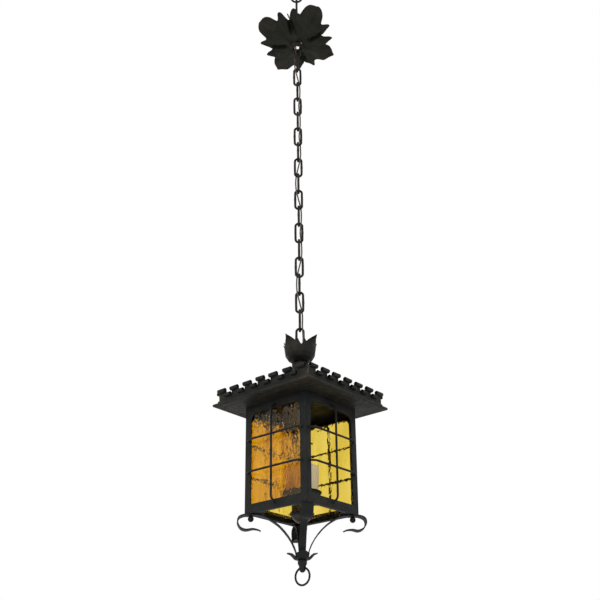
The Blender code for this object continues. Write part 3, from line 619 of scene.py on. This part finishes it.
def leaves():
    """The canopy, tilted on the chain, the cup over the roof and the collar under the straps."""
    canopy = wrapped_grid(288, 22, canopy_place)
    canopy.rotation_mode = "QUATERNION"
    canopy.rotation_quaternion = Matrix.Rotation(-CANOPY_TILT, 3, ALONG).to_quaternion()
    canopy.location.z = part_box("canopy_collar")[1].z + 4.5 * MM
    thicken(canopy, 1.3 * MM)
    hand_worked(canopy, 0.5 * MM, 9 * MM)
    done(canopy, "leaf_canopy", LEAF_IRON, "chain", ["ceiling_canopy"], 60)
    cup = wrapped_grid(240, 26, cup_place)
    cup.location.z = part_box("leaf_cup")[0].z + 0.7 * MM
    thicken(cup, 1.2 * MM)
    hand_worked(cup, 0.35 * MM, 7 * MM)
    done(cup, "veined_cup", ROOF_IRON, "lantern", ["leaf_cup"], 60)
    collar = wrapped_grid(192, 12, collar_place)
    collar.location.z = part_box("leaf_collar")[0].z + 0.7 * MM
    thicken(collar, 1.2 * MM)
    hand_worked(collar, 0.3 * MM, 5 * MM)
    done(collar, "veined_collar", IRON, "lantern", ["leaf_collar"], 60)


# ---- roof ---------------------------------------------------------------------------------------------
TABS = 13
TAB_RUN = 231 * MM
HIGH_TAB = 20.4 * MM
LOW_TAB = (TAB_RUN - (TABS // 2 + 1) * HIGH_TAB) / (TABS // 2)
TAB_GAP = 0.7 * MM
HIGH_CENTRE, LOW_CENTRE = 32.0 * MM, 21.5 * MM  # of the rolls, above the foot of the eave
SHEET = 1.6 * MM
ROLL = 4.3 * MM                                 # outer radius of a roll
STRIP = 10 * MM                                 # height of the fascia's plain foot
SHOULDER = 306 * MM                             # where the roof meets its neck, above the foot of the body


def rolled_tab(high):
    """A cut strip whose top is spun over into an open roll; it faces -Y and stands on the fascia's foot."""
    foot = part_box("fascia")[0].z
    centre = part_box("eave_tray")[0].z + (HIGH_CENTRE if high else LOW_CENTRE)
    width = (HIGH_TAB if high else LOW_TAB) - TAB_GAP
    back = EAVE - SHEET / 2
    bpy.ops.object.select_all(action="DESELECT")
    bpy.ops.mesh.primitive_grid_add(x_subdivisions=3, y_subdivisions=1, size=1, location=(0, 0, 0))
    tab = bpy.context.object
    for vert in tab.data.vertices:
        vert.co = Vector((vert.co.x * width, -back, foot + 6 * MM if vert.co.y < 0 else centre))
    bpy.ops.object.mode_set(mode="EDIT")
    bpy.ops.mesh.select_all(action="DESELECT")
    bpy.ops.object.mode_set(mode="OBJECT")
    for edge in tab.data.edges:
        edge.select = all(tab.data.vertices[i].co.z > centre - 1e-6 for i in edge.vertices)
    bpy.ops.object.mode_set(mode="EDIT")
    bpy.ops.mesh.select_mode(type="EDGE")
    bpy.ops.mesh.spin(steps=16, angle=math.radians(-315), axis=(1, 0, 0),
                      center=(0, -back - ROLL + SHEET / 2, centre))
    bpy.ops.object.mode_set(mode="OBJECT")
    thicken(tab, SHEET)
    soften(tab, 0.3 * MM)
    apply_all(tab)
    return tab


def rolled_fascia():
    """A foot strip on each side with thirteen rolled tabs, high and low by turns and none quite alike."""
    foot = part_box("fascia")[0].z
    parts = []
    samples = [rolled_tab(True), rolled_tab(False)]
    for quarter in range(4):
        turn = Matrix.Rotation(math.radians(90 * quarter), 4, "Z")
        bpy.ops.mesh.primitive_cube_add(size=1, location=(0, -EAVE + SHEET / 2, foot + STRIP / 2))
        strip = bpy.context.object
        strip.scale = (2 * EAVE - SHEET, SHEET, STRIP)
        bpy.ops.object.transform_apply(location=True, rotation=True, scale=True)
        soften(strip, 0.25 * MM)
        apply_all(strip)
        strip.data.transform(turn)
        parts.append(strip)
        for i in range(TABS):
            tab = samples[i % 2].copy()
            tab.data = samples[i % 2].data.copy()
            bpy.context.scene.collection.objects.link(tab)
            x = (i - TABS // 2) * (HIGH_TAB + LOW_TAB) / 2
            lean = Matrix.Rotation(math.radians(random.uniform(-2.2, 2.2)), 4, "Y")
            rise = Matrix.Translation((x, random.uniform(0.1, 0.6) * MM, random.uniform(-0.7, 0.5) * MM))
            low = Matrix.Translation((0, 0, foot))
            tab.data.transform(turn @ rise @ low @ lean @ low.inverted())
            parts.append(tab)
    for sample in samples:
        bpy.data.objects.remove(sample, do_unlink=True)
    done(joined(parts), "rolled_fascia", ROOF_IRON, "lantern", ["fascia"], 40)


def roof():
    """Soffit with a beaded moulding and two scribed lines round its rim, and the low pyramid on top."""
    rim = [(120.3, 8.0), (122.0, 7.9), (123.4, 7.2), (125.2, 7.0), (126.4, 6.2), (126.9, 5.0), (126.9, 3.0),
           (126.4, 1.8), (125.2, 1.0), (123.6, 0.6), (121.8, 0.1), (120.4, 0.0)]
    scribed = [(x - step, z) for x in (117.0, 111.0) for step, z in ((0, 0.0), (0.6, 0.7), (1.2, 0.0))]
    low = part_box("eave_tray")[0].z
    inner = [(8.0, 0.0), (8.0, 2.5), (120.3, 2.5), (120.3, 8.0)]
    profile = [(x * MM, low + z * MM) for x, z in rim + scribed + inner]
    done(square_spun(profile), "moulded_soffit", ROOF_IRON, "lantern", ["eave_tray"], 40)
    foot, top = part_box("roof_cap")[0].z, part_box("roof_cap")[1].z
    neck, hole, half = 12.5 * MM, 8.2 * MM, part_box("roof_cap")[1].x
    shoulder = FOOT + SHOULDER
    cap = square_spun([(hole, top), (neck - MM, top), (neck, top - MM), (neck, shoulder + 1.5 * MM),
                       (neck + 1.5 * MM, shoulder - 0.8 * MM), (half, foot + 1.8 * MM), (half, foot),
                       (half - 3.5 * MM, foot), (hole, shoulder - 1.5 * MM), (hole, top)])
    soften(cap, 0.5 * MM)
    done(cap, "folded_roof", ROOF_IRON, "lantern", ["roof_cap"], 35)


# ---- body ---------------------------------------------------------------------------------------------
ARCH = 16 * MM                                  # rounding of an opening's upper corners
STOP_LEVEL = 114.5 * MM
PANE_THICK = 2.2 * MM
PANE_WAVE = 0.22 * MM
GUARD_LEVELS = (80 * MM, 146 * MM)
GUARD_WIRE = 2.1 * MM
GUARD_NEAR = 2.4 * MM                           # from a plate's face to the middle of a bar's end
LEVEL_OUT, UPRIGHT_OUT = 9.5 * MM, 11.3 * MM    # and to the middle of its straight run, level and upright
WELD_OUT = 10.2 * MM                            # and to the middle of a weld
# Shares of BEND_LONG along a bar, and of its way out.
GUARD_BEND = ((0, 0), (0.20, 0.10), (0.42, 0.42), (0.62, 0.78), (0.82, 0.95), (1.15, 1.0))
BEND_LONG = 14 * MM


def pane_stop():
    """Stub of round bar that stands out of the open side's near stile, between its guard bars."""
    edge = -SIDE / 2 + STILE
    face = SIDE / 2 - PLATE / 2
    points = [Vector((face, edge + step * MM, FOOT + STOP_LEVEL)) for step in (-1.0, 3.0, 5.4, 6.0)]
    stub = rod(points, 1.5 * MM, 4, lambda share: 1 if share < 0.9 else 0.6)
    done(stub, "pane_stop", IRON, "lantern")


def base_sheet():
    """The floor's rim, gussets and lamp bar, with their cut edges eased."""
    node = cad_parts["base_plate"]
    sheet = node.copy()
    sheet.data = node.data.copy()
    bpy.context.scene.collection.objects.link(sheet)
    pick(sheet)
    bpy.ops.object.mode_set(mode="EDIT")
    bpy.ops.mesh.select_all(action="SELECT")
    bpy.ops.mesh.remove_doubles(threshold=1e-6)
    bpy.ops.mesh.dissolve_limited(angle_limit=math.radians(0.5))
    bpy.ops.object.mode_set(mode="OBJECT")
    soften(sheet, GAP)
    done(sheet, "eased_floor", IRON, "lantern", ["base_plate"], 35)


def arch(half, low, high, radius, steps=10):
    """Outline of an opening: square at the foot, rounded at the top."""
    points = [(-half, low), (half, low)]
    for start, x in ((0, half - radius), (90, -half + radius)):
        for i in range(steps + 1):
            angle = math.radians(start + 90 * i / steps)
            points.append((x + radius * math.cos(angle), high - radius + radius * math.sin(angle)))
    return points


def frame_plate(name, turn):
    """Cut plate with softened edges round its outline and its opening."""
    half = SIDE / 2 if turn % 180 == 0 else SIDE / 2 - PLATE - GAP
    data = bpy.data.curves.new("plate", "CURVE")
    data.dimensions = "2D"
    data.fill_mode = "BOTH"
    data.extrude = PLATE / 2 - GAP
    data.bevel_depth = GAP
    data.bevel_resolution = 2
    data.offset = -GAP
    edge = [(-half, 0), (half, 0), (half, BODY_HIGH), (-half, BODY_HIGH)]
    for outline in (edge, arch(SIDE / 2 - STILE, SILL, BODY_HIGH - HEAD, ARCH)):
        spline = data.splines.new("POLY")
        spline.points.add(len(outline) - 1)
        for slot, (x, y) in zip(spline.points, outline):
            slot.co = (x, y, 0, 1)
        spline.use_cyclic_u = True
    plate = bpy.data.objects.new("plate", data)
    bpy.context.scene.collection.objects.link(plate)
    pick(plate)
    bpy.ops.object.convert(target="MESH")
    plate = bpy.context.object
    bpy.ops.object.mode_set(mode="EDIT")
    bpy.ops.mesh.select_all(action="SELECT")
    bpy.ops.mesh.remove_doubles(threshold=1e-6)
    bpy.ops.object.mode_set(mode="OBJECT")
    angle = math.radians(turn)
    out = SIDE / 2 - PLATE / 2
    plate.rotation_euler = (QUARTER, 0, angle)
    plate.location = (out * math.sin(angle), -out * math.cos(angle), FOOT)
    done(plate, "plate_" + name, IRON, "lantern", ["frame_" + name], 35)


def pane(name, turn):
    """Rippled drawn glass: a fine grid with slow waves on both faces."""
    low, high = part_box("pane_" + name)
    width = max(high.x - low.x, high.y - low.y)
    tall = high.z - low.z
    bpy.ops.object.select_all(action="DESELECT")
    bpy.ops.mesh.primitive_grid_add(x_subdivisions=70, y_subdivisions=100, size=1, location=(0, 0, 0))
    sheet = bpy.context.object
    for vert in sheet.data.vertices:
        x, z = vert.co.x * width, (vert.co.y + 0.5) * tall
        slow = noise.noise(Vector((x * 60, turn * 0.1, z * 26)))
        quick = noise.noise(Vector((x * 210, turn, z * 120)))
        vert.co = Vector((x, PANE_WAVE * (slow + 0.5 * quick), z))
    thicken(sheet, PANE_THICK)
    apply_all(sheet)
    sheet.rotation_euler.z = math.radians(turn)
    middle = (low + high) / 2
    sheet.location = (middle.x, middle.y, low.z)
    glass = DEEP_AMBER if name == "front" else AMBER
    done(sheet, "rippled_pane_" + name, glass, "lantern", ["pane_" + name], 60)


def guard_ends(start, end, off):
    """Run of a guard bar: out from the plate at one end, straight, and back to the plate at the other."""
    near = SIDE / 2 + GUARD_NEAR
    out = SIDE / 2 + off
    first = [(start + BEND_LONG * s, near + (out - near) * t) for s, t in GUARD_BEND]
    last = [(end - BEND_LONG * s, near + (out - near) * t) for s, t in GUARD_BEND]
    return first + last[::-1]


def grille(name, turn):
    """Two level bars and an upright welded over them, with a blob of weld at each crossing."""
    half = SIDE / 2 - STILE + 7 * MM
    bars = []
    for level in GUARD_LEVELS:
        path = guard_ends(-half, half, LEVEL_OUT)
        bars.append(rod([Vector((s, -o, level)) for s, o in path], GUARD_WIRE, 4))
    upright = guard_ends(SILL / 2, BODY_HIGH - SILL / 2, UPRIGHT_OUT)
    bars.append(rod([Vector((0, -o, s)) for s, o in upright], GUARD_WIRE, 4))
    for level in GUARD_LEVELS:
        bpy.ops.mesh.primitive_uv_sphere_add(segments=16, ring_count=8, radius=2.9 * MM,
                                             location=(0, -SIDE / 2 - WELD_OUT, level))
        bars.append(bpy.context.object)
        bpy.ops.object.transform_apply(location=True, rotation=True, scale=True)
    guard = joined(bars)
    bpy.ops.object.transform_apply(location=True, rotation=True, scale=True)
    hand_worked(guard, 0.22 * MM, 8 * MM)
    guard.rotation_euler.z = math.radians(turn)
    guard.location.z = FOOT
    done(guard, "guard_" + name, IRON, "lantern", ["grille_" + name], 50)


# ---- lamp ---------------------------------------------------------------------------------------------
def raised(profile):
    """A profile given in millimetres above the foot of the body."""
    return [(r * MM, FOOT + z * MM) for r, z in profile]


def lamp():
    """Drip pan, sleeve with a soft lip, lamp holder, and a clear candle bulb in its metal base."""
    pan = spun(raised([(39.0, 44.5), (39.7, 44.3), (39.9, 43.6), (38.2, 41.4), (36.0, 39.6), (34.0, 38.8),
                       (10.0, 38.8), (10.0, 40.0), (33.4, 40.0), (36.6, 41.8), (38.2, 43.8), (39.0, 44.5)]))
    done(pan, "turned_pan", IRON, "lantern", ["drip_pan"])
    sleeve = spun(raised([(29.8, 94.6), (31.2, 95.8), (32.8, 96.0), (34.0, 95.0), (34.7, 92.6), (34.8, 90.0),
                          (34.0, 66.0), (33.0, 46.3), (32.4, 42.6), (31.2, 40.5), (29.0, 40.3), (29.0, 92.0),
                          (29.8, 94.6)]))
    done(sleeve, "lipped_sleeve", CREAM, "lantern", ["lamp_sleeve"])
    turns = [math.radians(degrees) for degrees in range(0, 90, 9)]
    bowl = [(20 * math.cos(a), 1 - 18 * math.sin(a)) for a in turns]
    tube = [(0, 84.0), (8.6, 84.0), (9.2, 83.4), (9.2, 38.5), (19.2, 38.5), (20.0, 37.8), (20.0, 5.1)]
    flange = [(22.6, 5.0), (22.8, 4.6), (22.8, 3.0), (20.0, 2.8)]
    holder = spun(raised(tube + flange + bowl + [(0, -17)]))
    done(holder, "moulded_holder", BAKELITE, "lantern", ["lamp_holder"])
    shape = ((0.0, 166.3), (1.6, 165.6), (3.2, 163.2), (6.2, 156.4), (9.0, 149.0), (11.6, 141.7),
             (14.2, 133.0), (16.2, 125.3), (17.3, 116.0), (17.3, 108.0), (16.0, 99.0), (12.6, 90.9),
             (10.0, 86.8), (7.4, 84.6), (0, 84.3))
    bulb = spun(raised(shape))
    thicken(bulb, 0.6 * MM, -1)
    done(bulb, "candle_bulb", BULB, "lantern", ["bulb"], 60)
    cap = spun(raised([(7.6, 84.4), (10.2, 86.6), (12.9, 90.8), (13.6, 92.2), (13.9, 92.0), (13.3, 90.4),
                       (12.3, 88.2), (12.1, 84.4), (7.6, 84.4)]))
    done(cap, "bulb_cap", BRASS, "lantern")


def filament():
    """A stem inside the bulb with two posts and a hairpin of fine wire between them."""
    stem = spun(raised([(0, 108.0), (1.6, 107.4), (2.0, 105.0), (2.4, 96.0), (4.6, 88.0), (5.0, 86.6),
                        (0, 86.4)]), 24)
    posts = []
    post = ((1.0, 104.0), (1.6, 108.0), (4.2, 118.0), (5.0, 121.0))
    for side in (-1, 1):
        path = [(side * x * MM, 0, FOOT + z * MM) for x, z in post]
        posts.append(rod(curve_through(path, 4), 0.30 * MM, 2))
    hairpin = ((-5.0, 121.0), (-3.6, 129.0), (-2.2, 134.5), (-0.9, 128.0), (0, 122.5), (0.9, 128.0),
               (2.2, 134.5), (3.6, 129.0), (5.0, 121.0))
    path = [(x * MM, 0, FOOT + z * MM) for x, z in hairpin]
    posts.append(rod(curve_through(path, 5), 0.18 * MM, 2))
    done(joined([stem] + posts), "bulb_filament", BRASS, "lantern")


# ---- brackets and finial ------------------------------------------------------------------------------
# From the curled tip, round the scroll and down to the boss: distance from the middle and height, in mm.
BRACKET_PATH = ((80.0, -32.5), (87.0, -29.5), (97.0, -28.5), (109.0, -30.5), (119.5, -26.5), (125.0, -16.5),
                (122.5, -6.5), (112.0, -1.9), (100.0, -1.7), (86.0, -1.9), (73.0, -4.6), (58.0, -12.6),
                (43.0, -24.1), (29.0, -40.1), (19.0, -56.1), (13.0, -71.1), (11.5, -82.8))
# Share of that way, and half the strap's width there, in mm.
BRACKET_WIDTH = ((0, 1.6), (0.08, 5.0), (0.20, 10.5), (0.36, 12.0), (0.52, 10.5), (0.72, 7.2), (1, 5.8))
BALL, BALL_DROP = 5.8, 9.0                      # its radius and how far below the body it sits, in mm
NUT_OUT = 99.5 * MM                             # from the lantern's middle
DRILL = 3.3 * MM
PULL_LEVEL = -101.9 * MM                        # the cross hole, below the foot of the body


def bracket(name, turn):
    """Flat iron, wide at its scroll and drawn out narrow at the curled tip."""
    path = curve_through([(r * MM, 0, FOOT + z * MM) for r, z in BRACKET_PATH], 5)
    bpy.ops.object.select_all(action="DESELECT")
    bpy.ops.mesh.primitive_grid_add(x_subdivisions=len(path) - 1, y_subdivisions=6, size=1,
                                    location=(0, 0, 0))
    strap = bpy.context.object
    for vert in strap.data.vertices:
        share = vert.co.x + 0.5
        spot = path[round(share * (len(path) - 1))]
        vert.co = Vector((spot.x, 2 * vert.co.y * blend(BRACKET_WIDTH, share) * MM, spot.z))
    thicken(strap, 2.2 * MM)
    soften(strap, 0.5 * MM)
    hand_worked(strap, 0.3 * MM, 8 * MM)
    strap.rotation_euler.z = math.radians(turn)
    done(strap, "strap_" + name, IRON, "lantern", ["bracket_" + name], 45)


def nut(name, turn):
    """Ball nut and the stud above it, turned in one."""
    turns = [math.radians(degrees) for degrees in range(62, -90, -12)]
    ball = [(BALL * math.cos(a), -BALL_DROP + BALL * math.sin(a)) for a in turns]
    stud = [(0, 4.5), (2.3, 4.5), (2.5, 4.2), (2.5, -3.4), (2.7, -3.6)]
    piece = spun(raised(stud + ball + [(0, -BALL_DROP - BALL)]), 32)
    angle = math.radians(turn)
    piece.location = (NUT_OUT * math.cos(angle), NUT_OUT * math.sin(angle), 0)
    hand_worked(piece, 0.15 * MM, 4 * MM)
    done(piece, "ball_" + name, IRON, "lantern", ["ball_nut_" + name], 50)


def boss():
    """Turned boss that clamps the straps, with a cross hole for the pull ring."""
    piece = spun(raised([(0, -70.0), (5.6, -70.0), (6.2, -70.6), (6.6, -86.8), (7.8, -87.0), (8.6, -87.6),
                         (9.0, -89.0), (9.0, -93.0), (8.7, -94.8), (7.6, -96.6), (6.8, -98.5), (6.5, -102.0),
                         (6.2, -105.8), (5.0, -108.2), (2.6, -110.4), (0, -110.9)]))
    bpy.ops.object.select_all(action="DESELECT")
    bpy.ops.mesh.primitive_cylinder_add(vertices=32, radius=DRILL, depth=30 * MM,
                                        location=(0, 0, FOOT + PULL_LEVEL), rotation=(0, QUARTER, PULL_TURN))
    drill = bpy.context.object
    hole = piece.modifiers.new("hole", "BOOLEAN")
    hole.object = drill
    hole.solver = "EXACT"
    apply_all(piece)
    bpy.data.objects.remove(drill, do_unlink=True)
    soften(piece, GAP)
    done(piece, "turned_boss", IRON, "lantern", ["finial"], 40)


def collar_ring():
    """Flanged collar under the canopy and the set screw that grips a link."""
    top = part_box("canopy_collar")[1].z
    # Radius, and depth below the top of the flange, in mm.
    section = ((11.5, 0), (16.0, 0), (16.5, 0.5), (16.4, 1.3), (14.2, 2.2), (13.5, 3.2), (13.5, 8.5),
               (13.0, 9.0), (11.9, 9.0), (11.5, 8.5), (11.5, 0))
    ring = spun([(r * MM, top - depth * MM) for r, depth in section])
    side = [ALONG * (reach * MM) + Vector((0, 0, top - 5.5 * MM)) for reach in (10.6, 16.0, 19.4, 19.9)]
    screw = rod(side, 1.5 * MM, 4, lambda share: 1 if share < 0.99 else 0.7)
    done(joined([ring, screw]), "flanged_collar", CHAIN_IRON, "chain", ["canopy_collar"], 40)


def eye():
    """Forged eye on its shank."""
    low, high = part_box("cup_eye")
    major = 7.8 * MM
    middle = high.z - major - WIRE
    bpy.ops.object.select_all(action="DESELECT")
    bpy.ops.mesh.primitive_torus_add(major_radius=major, minor_radius=WIRE,
                                     major_segments=48, minor_segments=16,
                                     location=(0, 0, middle), rotation=(QUARTER, 0, LINK_TURN + QUARTER))
    ring = bpy.context.object
    bpy.ops.object.transform_apply(location=True, rotation=True, scale=True)
    top = middle - major + 0.5 * MM
    shank = rod([Vector((0, 0, z)) for z in (top, (top + low.z) / 2, low.z)], 2.8 * MM, 5)
    done(joined([ring, shank]), "forged_eye", CHAIN_IRON, "lantern", ["cup_eye"], 40)


# ---- putting it together ------------------------------------------------------------------------------
camera()
studio()
forged_ring("hanging_ring", "hook_ring", 12.5 * MM, 2.5 * MM, LINK_TURN, CHAIN_IRON)
forged_ring("pull_ring", "pull", 16.5 * MM, 2.0 * MM, PULL_TURN, IRON)
for number in range(1, LINKS + 1):
    oval_link(number)
flexes()
leaves()
rolled_fascia()
for side, degrees in SIDES:
    frame_plate(side, degrees)
    grille(side, degrees)
    if side != "right":
        pane(side, degrees)
lamp()
filament()
for corner, degrees in CORNERS:
    bracket(corner, degrees)
    nut(corner, degrees)
collar_ring()
eye()
roof()
pane_stop()
base_sheet()
boss()
hidden_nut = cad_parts["shank_nut"]
hidden_nut.data.materials.clear()
hidden_nut.data.materials.append(IRON)
